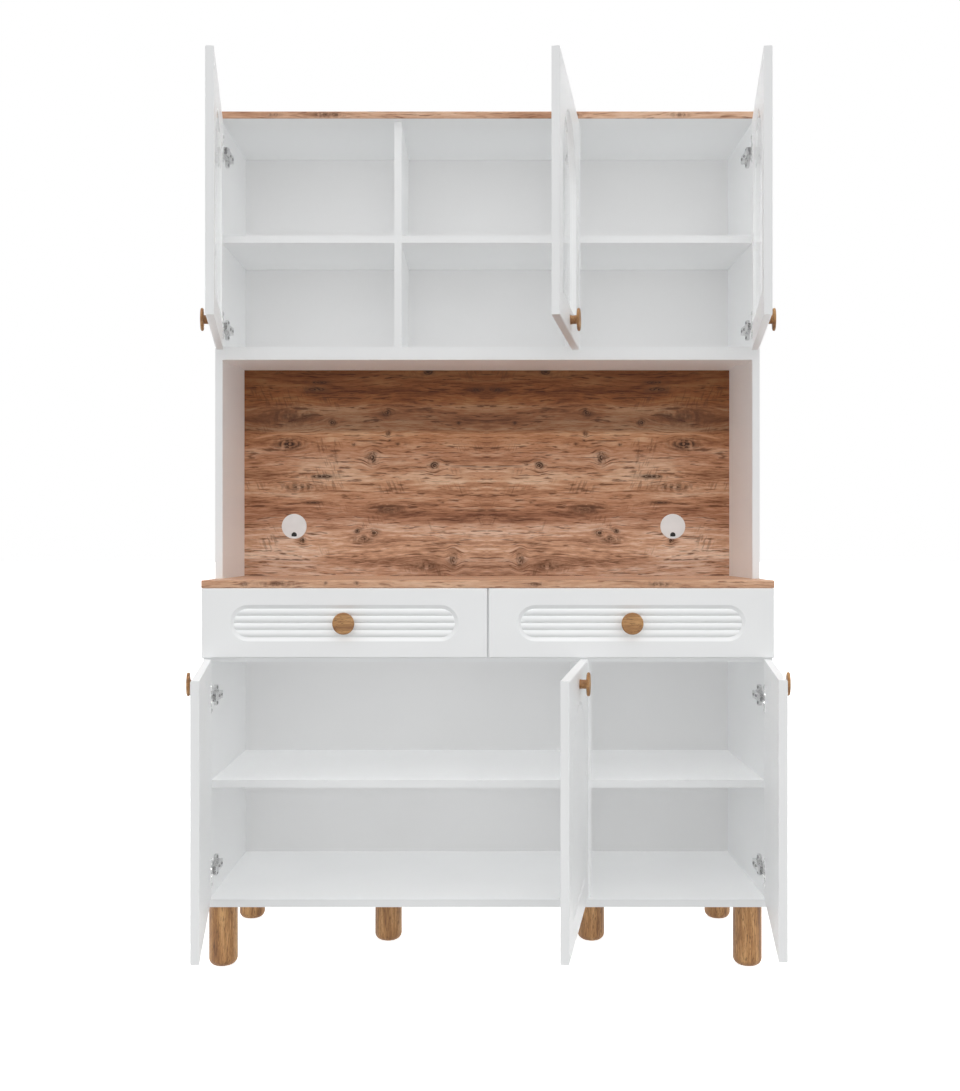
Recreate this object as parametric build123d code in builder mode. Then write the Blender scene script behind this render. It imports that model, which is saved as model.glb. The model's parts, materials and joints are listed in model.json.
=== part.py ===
from build123d import *

import math
import os

# A free-standing kitchen hutch: a base cabinet with two drawers and three reeded doors on six
# turned legs, an open niche with a wooden back, and a wall-cabinet top with three glazed doors.
# The origin lies on the floor, under the middle of the base cabinet's front face.
# X runs to the right, Y towards the back and Z up. The doors are modelled open.

# Overall sizes
cabinet_width = 1200.0
base_depth = 387.0
hutch_depth = 258.0
board = 16.0
back_sheet = 3.0
leg_height = 130.0
niche_height = 495.0
top_overhang = 20.0

# Clearances and common details
door_gap = 2.0
front_gap = 3.0
worktop_gap = 0.6
fit_gap = 0.1
shelf_setback = 2.0
running_gap = 0.3
front_edge_radius = 3.0
worktop_edge_radius = 2.5

# Doors and drawer fronts
door_thickness = 16.0
door_height = 500.0
door_open_angle = 80.0
drawer_front_height = 146.0
drawer_door_gap = 3.4
stile_width = 60.0
base_door_rail = 56.0
base_door_crown = 62.0
hutch_door_rail = 55.0
hutch_door_crown = 56.0
glass_thickness = 4.0
glass_lap = 4.0
glass_gap = 0.3
rebate_depth = 5.0

# Reeded recess
reed_pitch = 15.0
reed_height = 4.0
recess_depth = 4.5
recess_border = 8.0
drawer_recess_side = 60.0
drawer_recess_height = 76.0

# Base cabinet layout
base_partition_x = 210.0
drawer_bay_height = 140.5
base_shelf_rise = 230.0
leg_diameter = 60.0
leg_foot_radius = 15.0
leg_left_inset = 39.0
leg_right_inset = 49.0
middle_leg_left_inset = 377.0
middle_leg_right_inset = 366.0
leg_front_inset = 35.0
leg_back_inset = 38.0
stud_diameter = 8.0
stud_in_board = 12.0
stud_in_leg = 30.0

# Hutch layout
hutch_shelf_rise = 229.5
rail_depth = 80.0
rail_thickness = 12.7

# Cable grommets
grommet_diameter = 60.0
grommet_bore = 54.0
grommet_cap = 2.0
grommet_cap_radius = 1.0
grommet_wall = 2.0
grommet_rise = 119.0
grommet_left_inset = 120.0
grommet_right_inset = 136.0
cable_notch_width = 13.0
cable_notch_drop = 20.5
cable_notch_height = 4.5

# Shelf dowels
dowel_diameter = 8.0
dowel_seat = 7.0
dowel_reach = 18.0
dowel_front_inset = 40.0
dowel_back_inset = 50.0

# Knobs
knob_diameter = 46.0
knob_projection = 21.0
knob_head = 7.0
knob_neck_diameter = 17.5
knob_foot_diameter = 19.0
knob_cove = 0.2
knob_crown = 1.0
knob_rim_radius = 3.0
base_knob_drop = 28.5
hutch_knob_rise = 27.5

# Concealed hinges
pivot_edge_distance = 6.25
pivot_front_distance = 16.25
middle_pivot_edge_distance = 3.3
middle_pivot_front_distance = 12.7
base_hinge_foot = 57.0
base_hinge_head = 80.5
hutch_hinge_foot = 50.5
hutch_hinge_head = 64.0
cup_diameter = 35.0
cup_edge_distance = 22.5
cup_depth = 12.5
cup_wall = 1.0
cup_flange = 1.5
cup_flange_overlap = 1.5
cup_wing_height = 60.0
cup_wing_width = 17.0
cup_wing_radius = 5.0
cup_pin_diameter = 3.0
cup_pin_edge_distance = 9.0
cup_pin_depth = 6.0
arm_width = 16.0
arm_length = 56.0
arm_rise = 6.0
arm_thickness = 7.0
crank_length = 15.0
nose_edge_distance = 22.0
middle_nose_edge_distance = 16.1
nose_setback = 3.0
nose_reach = 11.5
plate_height = 44.0
plate_length = 34.0
plate_waist = 20.0
plate_setback = 18.0
plate_corner = 6.0

# Drawers
drawer_box_height = 100.0
drawer_box_depth = 340.0
drawer_box_rise = 10.0
drawer_side = 12.0
drawer_bottom = 3.0
drawer_groove_height = 10.0
drawer_groove_depth = 6.0
runner_height = 45.0
runner_width = 12.7
runner_sheet = 1.2
runner_length = 330.0
runner_setback = 12.0
runner_flange = 9.5
slide_flange = 8.5

# Levels and planes that follow from the sizes above
half_width = cabinet_width / 2
inner_half = half_width - board
base_front = door_gap + door_thickness
base_back = base_depth - back_sheet
hutch_front = base_depth - hutch_depth
top_front = hutch_front - top_overhang
bottom_top = leg_height + board
base_shelf_height = bottom_top + base_shelf_rise
base_door_bottom = bottom_top + door_gap
base_door_top = base_door_bottom + door_height
drawer_front_bottom = base_door_top + drawer_door_gap
worktop_bottom = drawer_front_bottom + drawer_front_height + worktop_gap
worktop_top = worktop_bottom + board
drawer_shelf_top = worktop_bottom - drawer_bay_height
drawer_shelf_bottom = drawer_shelf_top - board
hutch_floor_bottom = worktop_top + niche_height
hutch_floor_top = hutch_floor_bottom + board
hutch_shelf_height = hutch_floor_top + hutch_shelf_rise
hutch_door_bottom = hutch_floor_bottom + board / 2
hutch_top = hutch_door_bottom + door_height + 2 * door_gap
niche_panel_front = base_back - board
hutch_bay = (2 * inner_half - 2 * board) / 3
hutch_partition_x = (hutch_bay + board) / 2

os.makedirs("parts", exist_ok=True)


def save(piece, name):
    piece.part.label = name
    export_step(piece.part, f"parts/{name}.step")


def add_board(x, y, z):
    """A plain board between two corners, added to the current part; each side is (low, high)."""
    with BuildSketch(Plane.XY.offset(z[0])) as outline:
        with Locations(((x[0] + x[1]) / 2, (y[0] + y[1]) / 2)):
            Rectangle(x[1] - x[0], y[1] - y[0])
    extrude(outline.sketch, amount=z[1] - z[0])


def discs(plane, places, radius):
    """Circles at the given places of a plane, as one sketch."""
    with BuildSketch(plane) as circles:
        with Locations(*places):
            Circle(radius)
    return circles.sketch


# Shelves and the dowels that hold them. Each bay gives its two walls, its front plane and the
# height of its shelf's underside.
hutch_walls = (
    -inner_half,
    -hutch_partition_x - board / 2,
    -hutch_partition_x + board / 2,
    hutch_partition_x - board / 2,
    hutch_partition_x + board / 2,
    inner_half,
)
base_walls = (-inner_half, base_partition_x - board / 2, base_partition_x + board / 2, inner_half)
bays = {
    "lower_left_shelf": (base_walls[0], base_walls[1], base_front, base_shelf_height),
    "lower_right_shelf": (base_walls[2], base_walls[3], base_front, base_shelf_height),
    "upper_left_shelf": (hutch_walls[0], hutch_walls[1], hutch_front, hutch_shelf_height),
    "upper_middle_shelf": (hutch_walls[2], hutch_walls[3], hutch_front, hutch_shelf_height),
    "upper_right_shelf": (hutch_walls[4], hutch_walls[5], hutch_front, hutch_shelf_height),
}


def dowel_places(front, underside):
    """The places, along Y and Z, of the two dowels that hold one end of a shelf."""
    level = underside + board / 2
    return (front + dowel_front_inset, level), (base_back - dowel_back_inset, level)


def drill_dowels(wall_x, into, depth, front, underside):
    """Blind holes for a shelf's dowels, drilled into the current part from the plane x = wall_x."""
    holes = discs(
        Plane.YZ.offset(wall_x), dowel_places(front, underside), dowel_diameter / 2 + fit_gap
    )
    extrude(holes, amount=into * (depth + fit_gap), mode=Mode.SUBTRACT)


with BuildPart() as shelf_dowels:
    for left, right, front, underside in bays.values():
        for wall, inward in ((left, 1), (right, -1)):
            pins = discs(
                Plane.YZ.offset(wall - inward * dowel_seat),
                dowel_places(front, underside),
                dowel_diameter / 2,
            )
            extrude(pins, amount=inward * (dowel_seat + dowel_reach))
save(shelf_dowels, "shelf_dowels")

for name, (left, right, front, underside) in bays.items():
    with BuildPart() as shelf:
        add_board((left, right), (front + shelf_setback, base_back), (underside, underside + board))
        drill_dowels(left, 1, dowel_reach, front, underside)
        drill_dowels(right, -1, dowel_reach, front, underside)
    save(shelf, name)

# Base carcass
for name, side in (("lower_left_side", -1), ("lower_right_side", 1)):
    with BuildPart() as panel:
        add_board(
            sorted((side * inner_half, side * half_width)),
            (base_front, base_back),
            (bottom_top, worktop_bottom),
        )
        drill_dowels(side * inner_half, side, dowel_seat, base_front, base_shelf_height)
    save(panel, name)

leg_places = (
    (-half_width + leg_left_inset, leg_front_inset),
    (half_width - leg_right_inset, leg_front_inset),
    (-half_width + middle_leg_left_inset, base_depth / 2),
    (half_width - middle_leg_right_inset, base_depth / 2),
    (-half_width + leg_left_inset, base_depth - leg_back_inset),
    (half_width - leg_right_inset, base_depth - leg_back_inset),
)
leg_plane = Plane.XY.offset(leg_height)
stud_holes = discs(leg_plane, leg_places, stud_diameter / 2 + fit_gap)

with BuildPart() as bottom_board:
    add_board((-half_width, half_width), (0, base_back), (leg_height, bottom_top))
    extrude(stud_holes, amount=stud_in_board + fit_gap, mode=Mode.SUBTRACT)
save(bottom_board, "lower_bottom_board")

with BuildPart() as legs:
    extrude(discs(leg_plane, leg_places, leg_diameter / 2), amount=-leg_height)
    fillet(legs.edges().group_by(Axis.Z)[0], leg_foot_radius)
    extrude(stud_holes, amount=-stud_in_leg - fit_gap, mode=Mode.SUBTRACT)
save(legs, "legs")

with BuildPart() as leg_studs:
    studs = discs(Plane.XY.offset(leg_height - stud_in_leg), leg_places, stud_diameter / 2)
    extrude(studs, amount=stud_in_leg + stud_in_board)
save(leg_studs, "leg_studs")

with BuildPart() as drawer_shelf:
    add_board(
        (-inner_half, inner_half), (base_front, base_back), (drawer_shelf_bottom, drawer_shelf_top)
    )
save(drawer_shelf, "drawer_shelf_board")

with BuildPart() as drawer_divider:
    add_board((-board / 2, board / 2), (base_front, base_back), (drawer_shelf_top, worktop_bottom))
save(drawer_divider, "drawer_divider")

with BuildPart() as base_partition:
    add_board(base_walls[1:3], (base_front, base_back), (bottom_top, drawer_shelf_bottom))
    drill_dowels(base_walls[1], 1, dowel_seat, base_front, base_shelf_height)
    drill_dowels(base_walls[2], -1, dowel_seat, base_front, base_shelf_height)
save(base_partition, "lower_partition")

with BuildPart() as base_back_panel:
    add_board((-half_width, half_width), (base_back, base_depth), (leg_height, worktop_bottom))
save(base_back_panel, "lower_back_panel")

with BuildPart() as countertop:
    add_board((-half_width, half_width), (0, base_depth), (worktop_bottom, worktop_top))
    fillet(countertop.edges().filter_by(Axis.X).group_by(Axis.Y)[0], worktop_edge_radius)
save(countertop, "countertop")

# Hutch carcass
for name, side in (("hutch_left_side", -1), ("hutch_right_side", 1)):
    with BuildPart() as panel:
        add_board(
            sorted((side * inner_half, side * half_width)),
            (hutch_front, base_back),
            (worktop_top, hutch_top),
        )
        drill_dowels(side * inner_half, side, dowel_seat, hutch_front, hutch_shelf_height)
    save(panel, name)

with BuildPart() as hutch_floor:
    add_board(
        (-inner_half, inner_half), (hutch_front, base_back), (hutch_floor_bottom, hutch_floor_top)
    )
save(hutch_floor, "upper_bottom_board")

with BuildPart() as front_rail:
    add_board(
        (-inner_half, inner_half),
        (hutch_front, hutch_front + rail_depth),
        (hutch_floor_bottom - rail_thickness, hutch_floor_bottom),
    )
save(front_rail, "niche_front_rail")

for name, walls in (
    ("upper_left_partition", hutch_walls[1:3]),
    ("upper_right_partition", hutch_walls[3:5]),
):
    with BuildPart() as partition:
        add_board(walls, (hutch_front, base_back), (hutch_floor_top, hutch_top))
        drill_dowels(walls[0], 1, dowel_seat, hutch_front, hutch_shelf_height)
        drill_dowels(walls[1], -1, dowel_seat, hutch_front, hutch_shelf_height)
    save(partition, name)

with BuildPart() as hutch_back_panel:
    add_board((-half_width, half_width), (base_back, base_depth), (hutch_floor_bottom, hutch_top))
save(hutch_back_panel, "upper_back_panel")

with BuildPart() as top_board:
    add_board(
        (-half_width, half_width), (top_front, base_depth), (hutch_top, hutch_top + board)
    )
    fillet(top_board.edges().filter_by(Axis.X).group_by(Axis.Y)[0], worktop_edge_radius)
save(top_board, "top_board")

# Niche back with its two cable grommets
grommet_places = (
    (-inner_half + grommet_left_inset, worktop_top + grommet_rise),
    (inner_half - grommet_right_inset, worktop_top + grommet_rise),
)
niche_plane = Plane.XZ.offset(-niche_panel_front)

with BuildPart() as niche_panel:
    add_board(
        (-inner_half, inner_half), (niche_panel_front, base_back), (worktop_top, hutch_floor_bottom)
    )
    bores = discs(niche_plane, grommet_places, grommet_bore / 2)
    extrude(bores, amount=-board, mode=Mode.SUBTRACT)
save(niche_panel, "niche_back_panel")

with BuildPart() as grommets:
    sleeve_radius = grommet_bore / 2 - fit_gap
    extrude(discs(niche_plane, grommet_places, sleeve_radius), amount=-board)
    extrude(discs(niche_plane, grommet_places, grommet_diameter / 2), amount=grommet_cap)
    fillet(grommets.edges().group_by(Axis.Y)[0], grommet_cap_radius)
    inside = discs(niche_plane, grommet_places, sleeve_radius - grommet_wall)
    extrude(inside, amount=-board, mode=Mode.SUBTRACT)
    with BuildSketch(niche_plane.offset(grommet_cap)) as notches:
        with Locations(*[(x, z - cable_notch_drop) for x, z in grommet_places]):
            Rectangle(cable_notch_width, cable_notch_height, align=(Align.CENTER, Align.MAX))
            Circle(cable_notch_width / 2)
    extrude(notches.sketch, amount=-grommet_cap, mode=Mode.SUBTRACT)
save(grommets, "cable_grommets")

# Doors and drawer fronts. A front's plane has its origin at the front's foot, x along the
# front, y up and z out of its face. A door stands open; reach is 1 for a door hinged on its left
# and -1 for one hinged on its right.
base_pair_width = (half_width + base_partition_x - front_gap / 2 - front_gap) / 2
base_single_width = half_width - base_partition_x - front_gap / 2
hutch_door_width = (cabinet_width - 2 * front_gap) / 3
drawer_front_width = half_width - front_gap / 2
base_hinge_levels = (base_hinge_foot, door_height - base_hinge_head)
hutch_hinge_levels = (hutch_hinge_foot, door_height - hutch_hinge_head)

# Each kind of hinge: its pivot's distances from the hinge edge and from the carcass front, and
# the distance of its arm's nose from the hinge edge
side_hinge = (pivot_edge_distance, pivot_front_distance, nose_edge_distance)
middle_hinge = (
    middle_pivot_edge_distance, middle_pivot_front_distance, middle_nose_edge_distance
)

# Each door: hinge edge, carcass wall that carries it, reach, width and kind of hinge
base_doors = {
    "lower_left": (-half_width, base_walls[0], 1, base_pair_width, side_hinge),
    "lower_middle": (
        base_partition_x - front_gap / 2, base_walls[1], -1, base_pair_width, middle_hinge
    ),
    "lower_right": (half_width, base_walls[3], -1, base_single_width, side_hinge),
}
hutch_doors = {
    "upper_left": (-half_width, hutch_walls[0], 1, hutch_door_width, side_hinge),
    "upper_middle": (hutch_door_width / 2, hutch_walls[3], -1, hutch_door_width, middle_hinge),
    "upper_right": (half_width, hutch_walls[5], -1, hutch_door_width, side_hinge),
}


def door_plane(edge_x, reach, hinge, front, bottom):
    """The inner face of an open door: its origin is the foot of the door's hinge edge."""
    edge_distance, front_distance = hinge[:2]
    angle = math.radians(door_open_angle)
    pivot = Plane(
        origin=(edge_x + reach * edge_distance, front - front_distance, bottom),
        x_dir=(math.cos(angle), -reach * math.sin(angle), 0),
        z_dir=(-reach * math.sin(angle), -math.cos(angle), 0),
    )
    foot = pivot.from_local_coords((-reach * edge_distance, 0, door_gap - front_distance))
    return Plane(origin=foot, x_dir=pivot.x_dir, z_dir=pivot.z_dir)


def add_front(plane, centre_x, width, height):
    """A plain panel standing on the plane, in the current part."""
    with BuildSketch(plane) as outline:
        with Locations((centre_x, height / 2)):
            Rectangle(width, height)
    extrude(outline.sketch, amount=door_thickness)


def round_front(piece, plane):
    """Rounds every edge of a panel's outer face."""
    outer = piece.faces().sort_by(Axis(plane.origin, plane.z_dir))[-1]
    fillet(outer.edges(), front_edge_radius)


def arch(plane, centre_x, width, bottom, top):
    """An arched opening: straight sides under a half round."""
    spring = top - width / 2
    left, right = centre_x - width / 2, centre_x + width / 2
    with BuildSketch(plane) as opening:
        with BuildLine():
            Polyline((left, spring), (left, bottom), (right, bottom), (right, spring))
            ThreePointArc((right, spring), (centre_x, top), (left, spring))
        make_face()
    return opening.sketch


def slot(plane, centre_x, centre_y, length, height):
    """A slot with round ends, lying along the front."""
    with BuildSketch(plane) as opening:
        with Locations((centre_x, centre_y)):
            SlotOverall(length, height)
    return opening.sketch


def make_reeds(section_plane, low, high, level, length, floor):
    """Convex reeds side by side from low to high, cut to the outline of the recess floor."""
    count = round((high - low) / reed_pitch)
    pitch = (high - low) / count
    root = level - recess_depth
    with BuildPart() as reeds:
        with BuildSketch(section_plane) as section:
            with BuildLine():
                for i in range(count):
                    start, end = low + i * pitch, low + (i + 1) * pitch
                    crest = ((start + end) / 2, level + reed_height)
                    ThreePointArc((start, level), crest, (end, level))
                Polyline((high, level), (high, root), (low, root), (low, level))
            make_face()
        extrude(section.sketch, amount=length, both=True)
        extrude(floor, amount=recess_depth, both=True, mode=Mode.INTERSECT)
    return reeds.part


def sink(outline):
    """The recess with its sloping border, cut from the current part."""
    slope = math.degrees(math.atan(recess_border / recess_depth))
    extrude(outline, amount=-recess_depth, taper=slope, mode=Mode.SUBTRACT)


def make_knob(plane, centre_x, centre_y):
    """A turned knob standing on the plane: foot, neck, round head and crowned face."""
    foot, neck, head = knob_foot_diameter / 2, knob_neck_diameter / 2, knob_diameter / 2
    under = knob_projection - knob_head
    rim = knob_projection - knob_crown
    flat = head - knob_rim_radius
    crown_radius = (flat**2 + knob_crown**2) / (2 * knob_crown)
    crown_angle = math.degrees(math.asin(flat / crown_radius))
    origin = plane.from_local_coords((centre_x, centre_y, 0))
    with BuildPart() as knob:
        with BuildSketch(Plane(origin=origin, x_dir=plane.x_dir, z_dir=-plane.y_dir)) as profile:
            with BuildLine():
                Line((0, 0), (foot, 0))
                ThreePointArc((foot, 0), ((foot + neck) / 2 - knob_cove, under / 4), (neck, under / 2))
                Line((neck, under / 2), (neck, under))
                Line((neck, under), (flat, under))
                ThreePointArc((flat, under), (head, (under + rim) / 2), (flat, rim))
                CenterArc((0, knob_projection - crown_radius), crown_radius, 90 - crown_angle, crown_angle)
                Line((0, knob_projection), (0, 0))
            make_face()
        revolve(profile.sketch, axis=Axis(origin, plane.z_dir))
    return knob


def cup_places(reach, levels):
    return [(reach * cup_edge_distance, level) for level in levels]


def bore_cups(back_plane, reach, levels):
    """Blind holes for the two hinge cups, in the inner face of the current door."""
    holes = discs(back_plane, cup_places(reach, levels), cup_diameter / 2 + fit_gap)
    extrude(holes, amount=cup_depth + fit_gap, mode=Mode.SUBTRACT)


def make_cups(back_plane, reach, levels):
    """The two hinge cups of a door: winged flange, hollow cup and the link pin across it."""
    mouth = cup_diameter / 2 - cup_wall
    places = cup_places(reach, levels)
    with BuildPart() as cups:
        extrude(discs(back_plane, places, cup_diameter / 2), amount=cup_depth)
        with BuildSketch(back_plane) as flange:
            with Locations(*places):
                Circle(cup_diameter / 2 + cup_flange_overlap)
                RectangleRounded(cup_wing_width, cup_wing_height, cup_wing_radius)
        extrude(flange.sketch, amount=-cup_flange)
        hollow = discs(back_plane.offset(-cup_flange), places, mouth)
        extrude(hollow, amount=cup_flange + cup_depth - cup_wall, mode=Mode.SUBTRACT)
        pin_x = reach * cup_pin_edge_distance
        pin_offset = cup_edge_distance - cup_pin_edge_distance + cup_pin_diameter / 2
        pin_half_length = math.sqrt((mouth + cup_wall / 2) ** 2 - pin_offset**2)
        for level in levels:
            start = back_plane.from_local_coords((pin_x, level, cup_pin_depth))
            with BuildSketch(Plane(origin=start, x_dir=back_plane.x_dir, z_dir=back_plane.y_dir)) as pin:
                Circle(cup_pin_diameter / 2)
            extrude(pin.sketch, amount=pin_half_length, both=True)
    return cups


def add_hinge_arm(nose_rise, wall_x, away, front, level):
    """One arm and the winged plate under it, in the current part; away points off the wall."""
    arm_top = arm_rise + arm_thickness
    nose_top = nose_rise + arm_thickness
    top_view = Plane(origin=(wall_x, front, level), x_dir=(away, 0, 0), z_dir=(0, 0, -away))
    with BuildSketch(top_view) as profile:
        with BuildLine():
            Polyline(
                (arm_rise, -arm_length),
                (arm_top, -arm_length),
                (arm_top, -crank_length),
                (nose_top, -nose_setback),
                (nose_top, nose_reach),
                (nose_rise, nose_reach),
                (nose_rise, -nose_setback),
                (arm_rise, -crank_length),
                close=True,
            )
        make_face()
    extrude(profile.sketch, amount=arm_width / 2, both=True)
    wall_view = Plane(origin=(wall_x, front, level), x_dir=(0, 1, 0), z_dir=(away, 0, 0))
    with BuildSketch(wall_view) as plate:
        with Locations((plate_setback + plate_length / 2, 0)):
            Rectangle(plate_length, plate_waist)
            RectangleRounded(plate_waist, plate_height, plate_corner)
    extrude(plate.sketch, amount=arm_rise)


for name, doors, levels, front, bottom in (
    ("lower_hinge_arms", base_doors, base_hinge_levels, base_front, base_door_bottom),
    ("upper_hinge_arms", hutch_doors, hutch_hinge_levels, hutch_front, hutch_door_bottom),
):
    with BuildPart() as hinge_arms:
        for edge_x, wall_x, reach, width, hinge in doors.values():
            nose_rise = hinge[2] - abs(edge_x - wall_x)
            for level in levels:
                add_hinge_arm(nose_rise, wall_x, reach, front, bottom + level)
    save(hinge_arms, name)

# Lower doors: a reeded arch sunk into each panel
for name, (edge_x, wall_x, reach, width, hinge) in base_doors.items():
    back_plane = door_plane(edge_x, reach, hinge, base_front, base_door_bottom)
    face_plane = back_plane.offset(door_thickness)
    centre_x = reach * width / 2
    arch_width = width - 2 * stile_width
    arch_top = door_height - base_door_crown
    floor = arch(
        face_plane.offset(-recess_depth),
        centre_x,
        arch_width - 2 * recess_border,
        base_door_rail + recess_border,
        arch_top - recess_border,
    )
    reeds = make_reeds(
        Plane(origin=face_plane.origin, x_dir=face_plane.x_dir, z_dir=-face_plane.y_dir),
        centre_x - arch_width / 2 + recess_border,
        centre_x + arch_width / 2 - recess_border,
        -recess_depth,
        door_height,
        floor,
    )
    with BuildPart() as door:
        add_front(back_plane, centre_x, width, door_height)
        round_front(door, face_plane)
        bore_cups(back_plane, reach, base_hinge_levels)
        sink(arch(face_plane, centre_x, arch_width, base_door_rail, arch_top))
        add(reeds)
    save(door, f"{name}_door")
    save(make_knob(face_plane, centre_x, door_height - base_knob_drop), f"{name}_knob")
    save(make_cups(back_plane, reach, base_hinge_levels), f"{name}_hinge_cups")

# Upper doors: a glazed arch in each frame, the pane let into a rebate from inside
for name, (edge_x, wall_x, reach, width, hinge) in hutch_doors.items():
    back_plane = door_plane(edge_x, reach, hinge, hutch_front, hutch_door_bottom)
    face_plane = back_plane.offset(door_thickness)
    centre_x = reach * width / 2
    arch_width = width - 2 * stile_width
    arch_top = door_height - hutch_door_crown
    with BuildPart() as frame:
        add_front(back_plane, centre_x, width, door_height)
        opening = arch(back_plane, centre_x, arch_width, hutch_door_rail, arch_top)
        extrude(opening, amount=door_thickness, mode=Mode.SUBTRACT)
        round_front(frame, face_plane)
        rebate = arch(
            back_plane,
            centre_x,
            arch_width + 2 * glass_lap,
            hutch_door_rail - glass_lap,
            arch_top + glass_lap,
        )
        extrude(rebate, amount=rebate_depth, mode=Mode.SUBTRACT)
        bore_cups(back_plane, reach, hutch_hinge_levels)
    save(frame, f"{name}_door_frame")
    pane_lap = glass_lap - glass_gap
    with BuildPart() as pane:
        outline = arch(
            back_plane.offset(rebate_depth),
            centre_x,
            arch_width + 2 * pane_lap,
            hutch_door_rail - pane_lap,
            arch_top + pane_lap,
        )
        extrude(outline, amount=-glass_thickness)
    save(pane, f"{name}_glass")
    save(make_knob(face_plane, centre_x, hutch_knob_rise), f"{name}_knob")
    save(make_cups(back_plane, reach, hutch_hinge_levels), f"{name}_hinge_cups")

# Drawers: a reeded front, a box of two sides and a back, a thin bottom in grooves, and slides
box_low = drawer_shelf_top + drawer_box_rise
box_high = box_low + drawer_box_height
box_end = door_thickness + drawer_box_depth
bottom_low = box_low + drawer_groove_height
runner_level = (box_low + box_high) / 2


def channel(wall_x, away, half_height, flange, length, start_y):
    """A C-shaped rail along Y in the current part: its web lies on x = wall_x."""
    view = Plane(origin=(wall_x, start_y, runner_level), x_dir=(away, 0, 0), z_dir=(0, 1, 0))
    with BuildSketch(view) as section:
        with Locations((flange / 2, 0)):
            Rectangle(flange, 2 * half_height)
        with Locations((runner_sheet + flange / 2, 0)):
            Rectangle(flange, 2 * (half_height - runner_sheet), mode=Mode.SUBTRACT)
    extrude(section.sketch, amount=length)


drawers = {
    "left": (-inner_half, -board / 2, -half_width, -front_gap / 2),
    "right": (board / 2, inner_half, front_gap / 2, half_width),
}
runner_start = base_front + runner_setback
with BuildPart() as runners:
    for wall_low, wall_high, front_low, front_high in drawers.values():
        for wall_x, away in ((wall_low, 1), (wall_high, -1)):
            channel(wall_x, away, runner_height / 2, runner_flange, runner_length, runner_start)
save(runners, "drawer_runners")

for name, (wall_low, wall_high, front_low, front_high) in drawers.items():
    back_plane = Plane(
        origin=(0, door_thickness, drawer_front_bottom), x_dir=(1, 0, 0), z_dir=(0, -1, 0)
    )
    face_plane = back_plane.offset(door_thickness)
    centre_x = (front_low + front_high) / 2
    centre_y = drawer_front_height / 2
    recess_length = drawer_front_width - 2 * drawer_recess_side
    floor_length = recess_length - 2 * recess_border
    floor_height = drawer_recess_height - 2 * recess_border
    reeds = make_reeds(
        Plane(
            origin=face_plane.from_local_coords((centre_x, 0, 0)),
            x_dir=face_plane.y_dir,
            z_dir=face_plane.x_dir,
        ),
        centre_y - floor_height / 2,
        centre_y + floor_height / 2,
        -recess_depth,
        recess_length,
        slot(face_plane.offset(-recess_depth), centre_x, centre_y, floor_length, floor_height),
    )
    with BuildPart() as front:
        add_front(back_plane, centre_x, front_high - front_low, drawer_front_height)
        round_front(front, back_plane)
        sink(slot(face_plane, centre_x, centre_y, recess_length, drawer_recess_height))
        add(reeds)
    save(front, f"{name}_drawer_front")
    knob_plane = face_plane.offset(reed_height - recess_depth)
    save(make_knob(knob_plane, centre_x, centre_y), f"{name}_drawer_knob")

    side_low = wall_low + runner_width
    side_high = wall_high - runner_width
    groove = (bottom_low - fit_gap, bottom_low + drawer_bottom + fit_gap)
    boards = []
    for outside, inward in ((side_low, 1), (side_high, -1)):
        inside = outside + inward * drawer_side
        with BuildPart() as box_side:
            add_board(sorted((outside, inside)), (door_thickness, box_end), (box_low, box_high))
            with BuildSketch(Plane.XY.offset(groove[0])) as slit:
                with Locations((inside, (door_thickness + box_end) / 2)):
                    Rectangle(2 * drawer_groove_depth, drawer_box_depth)
            extrude(slit.sketch, amount=groove[1] - groove[0], mode=Mode.SUBTRACT)
        boards.append(box_side.part)
    with BuildPart() as box_back:
        add_board(
            (side_low + drawer_side, side_high - drawer_side),
            (box_end - drawer_side, box_end),
            (groove[1], box_high),
        )
    boards.append(box_back.part)
    export_step(Compound(label=f"{name}_drawer_box", children=boards), f"parts/{name}_drawer_box.step")
    with BuildPart() as box_bottom:
        in_groove = drawer_side - drawer_groove_depth + fit_gap
        add_board(
            (side_low + in_groove, side_high - in_groove),
            (door_thickness, box_end),
            (bottom_low, bottom_low + drawer_bottom),
        )
    save(box_bottom, f"{name}_drawer_bottom")
    with BuildPart() as slides:
        half_height = runner_height / 2 - runner_sheet - running_gap
        for outside, away in ((side_low, -1), (side_high, 1)):
            channel(outside, away, half_height, slide_flange, runner_length, runner_start)
    save(slides, f"{name}_drawer_slides")
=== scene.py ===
import json
import math

import bmesh
import bpy
from mathutils import Matrix, Vector


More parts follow.
